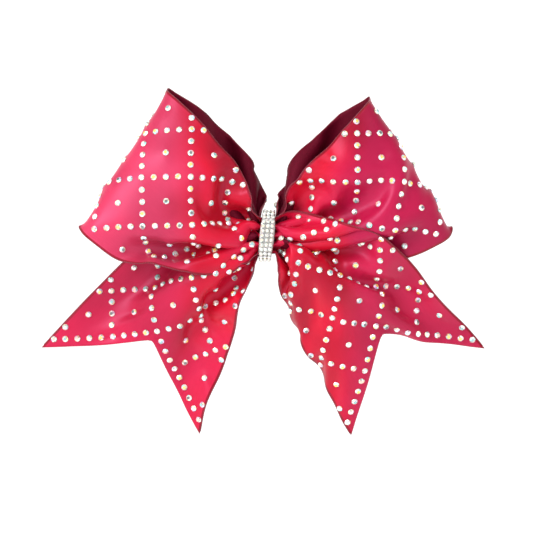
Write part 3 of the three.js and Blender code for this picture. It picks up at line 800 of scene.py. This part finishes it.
def band_pieces():
    reach = 27.0
    count = 55
    half_width = 3.5
    distances = np.linspace(-reach, reach, count)
    grid, normals, flat = [], [], []
    for distance in distances:
        (y, z), (ny, nz) = ring_point(distance)
        middle, share = band_line(z)
        grid.append([(middle + share * x, y, z) for x in np.linspace(-half_width, half_width, 8)])
        normals.append([(0, ny, nz)] * 8)
        flat.append([(x, distance) for x in np.linspace(-half_width, half_width, 8)])
    grid, normals, flat = np.array(grid), np.array(normals), np.array(flat)
    strip = shell("centre_band_strip", grid, normals, -0.7, -0.1, flat, silver)
    cups, stones = [], []
    rows = int(reach / BAND_PITCH)
    for i in range(-rows, rows + 1):
        (y, z), (ny, nz) = ring_point(i * BAND_PITCH)
        middle, share = band_line(z)
        for x in (middle - share * BAND_PITCH, middle, middle + share * BAND_PITCH):
            jitter = rng.uniform(-0.07, 0.07, 2)
            normal = np.array([rng.uniform(-0.06, 0.06), ny, nz])
            centre = np.array([x + jitter[0], y, z]) + np.array([0, -nz, ny]) * jitter[1]
            cups.append((centre - 0.15 * normal, normal))
            stones.append((centre + 0.3 * normal, normal))
    cup = gems("centre_band_cups", cups, 1.06, 0.6, silver)
    gem_rows = gems("centre_band_crystals", stones, 0.98, 0.7, band_crystal)
    for piece in (strip, cup, gem_rows):
        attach(piece, "bow")
    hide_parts("centre_band")


def glue_blob():
    """Hot glue squeezed out between the gather and the plate, as an uneven flattened bead."""
    lowest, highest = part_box("glue_pad")
    middle = (np.array(lowest) + np.array(highest)) * 500
    half = (np.array(highest) - np.array(lowest)) * 500
    rings, sides = 14, 36
    vertices = [middle + [0, -half[1], 0]]
    for i in range(1, rings):
        polar = math.pi * i / rings
        for j in range(sides):
            turn = 2 * math.pi * j / sides
            lobes = 1 + 0.05 * math.sin(3 * turn + 0.6) + 0.04 * math.sin(5 * turn + 2.0)
            out = math.sin(polar) ** 0.45 * lobes * 0.95
            up = -math.cos(polar)
            up = math.copysign(abs(up) ** 0.7, up)
            vertices.append(middle + [half[0] * out * math.cos(turn), half[1] * up,
                                      half[2] * out * math.sin(turn)])
    vertices.append(middle + [0, half[1], 0])
    faces = []
    for j in range(sides):
        k = (j + 1) % sides
        faces.append((0, 1 + k, 1 + j))
        for i in range(rings - 2):
            a, b = 1 + i * sides, 1 + (i + 1) * sides
            faces.append((a + j, a + k, b + k, b + j))
        last = 1 + (rings - 2) * sides
        faces.append((last + j, last + k, len(vertices) - 1))
    blob = new_object("glue_bead", vertices, faces, glue)
    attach(blob, "bow")
    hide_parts("glue_pad")


band_pieces()
glue_blob()


# ---- the CAD nodes that stay ----------------------------------------------------------------------


def finished(name, material, edge):
    """A CAD node with its material, and its hard edges eased a little."""
    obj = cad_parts[name]
    obj.data.materials.clear()
    obj.data.materials.append(material)
    eased = obj.modifiers.new("eased_edges", "BEVEL")
    eased.width = edge
    eased.segments = 2
    eased.limit_method = "ANGLE"
    eased.angle_limit = math.radians(35)


finished("gather_zip_tie", nylon, 0.00012)
finished("clip_base", nickel, 0.0001)
finished("clip_arm", nickel, 0.00015)
finished("clip_hinge_pin", nickel, 0.00008)
finished("clip_tension_bar", nickel, 0.00006)
finished("clip_latch_tab_upper", nickel, 0.00006)
finished("clip_latch_tab_lower", nickel, 0.00006)


# ---- room, light and camera -----------------------------------------------------------------------

CENTRE = Vector((-0.0005, -0.02, -0.0146))
DISTANCE = 1.8


def pale_material(name, colour):
    material, shader, tree = new_material(name)
    place = node(tree, "TexCoord").outputs["Object"]
    grain = node(tree, "TexNoise", {"Vector": place, "Scale": 30.0}).outputs["Fac"]
    shade = ramp(tree, grain, (0.0, tuple(0.985 * c for c in colour)), (1.0, colour))
    tree.links.new(shade, shader.inputs["Base Color"])
    shader.inputs["Roughness"].default_value = 0.9
    shader.inputs["Emission Color"].default_value = (1, 1, 1, 1)
    shader.inputs["Emission Strength"].default_value = 0.3
    return material


def room():
    """A round pale floor that curves up into a low wall."""
    floor, flat, wall, bend, top, sides = -190.0, 1900.0, 2700.0, 800.0, 1500.0, 72
    profile = [(flat + bend * math.sin(a), floor + bend - bend * math.cos(a))
               for a in np.linspace(0, math.pi / 2, 10)]
    profile.append((wall, top))
    vertices = [(r * math.cos(2 * math.pi * j / sides), r * math.sin(2 * math.pi * j / sides), z)
                for r, z in profile for j in range(sides)]
    faces = [tuple(range(sides))]
    for i in range(len(profile) - 1):
        for j in range(sides):
            k = (j + 1) % sides
            faces.append((i * sides + k, i * sides + j, (i + 1) * sides + j, (i + 1) * sides + k))
    sweep = new_object("pale_sweep", vertices, faces, pale_material("pale_paper", (0.95, 0.95, 0.95)))


def soft_light(name, place, size, power):
    light = bpy.data.lights.new(name, "AREA")
    light.shape = "DISK"
    light.size = size
    light.energy = power
    obj = bpy.data.objects.new(name, light)
    obj.location = place
    obj.rotation_euler = (CENTRE - Vector(place)).to_track_quat("-Z", "Y").to_euler()
    bpy.context.collection.objects.link(obj)


room()
soft_light("key", (-0.6, -0.62, 0.34), 0.5, 6)
soft_light("top", (0.2, -0.55, 0.95), 0.5, 4.5)
soft_light("behind", (0.1, 0.9, 0.7), 0.7, 4)

world = bpy.data.worlds.new("bright_room")
bpy.context.scene.world = world
world.use_nodes = True
world.node_tree.nodes["Background"].inputs["Color"].default_value = (1, 1, 1, 1)
world.node_tree.nodes["Background"].inputs["Strength"].default_value = 0.53

camera = bpy.data.cameras.new("camera")
camera.lens = 258.5
camera_object = bpy.data.objects.new("camera", camera)
camera_object.location = CENTRE - Vector((0, DISTANCE, 0))
camera_object.rotation_euler = (math.pi / 2, 0, 0)
bpy.context.collection.objects.link(camera_object)
bpy.context.scene.camera = camera_object
bpy.context.scene.view_settings.view_transform = "Standard"
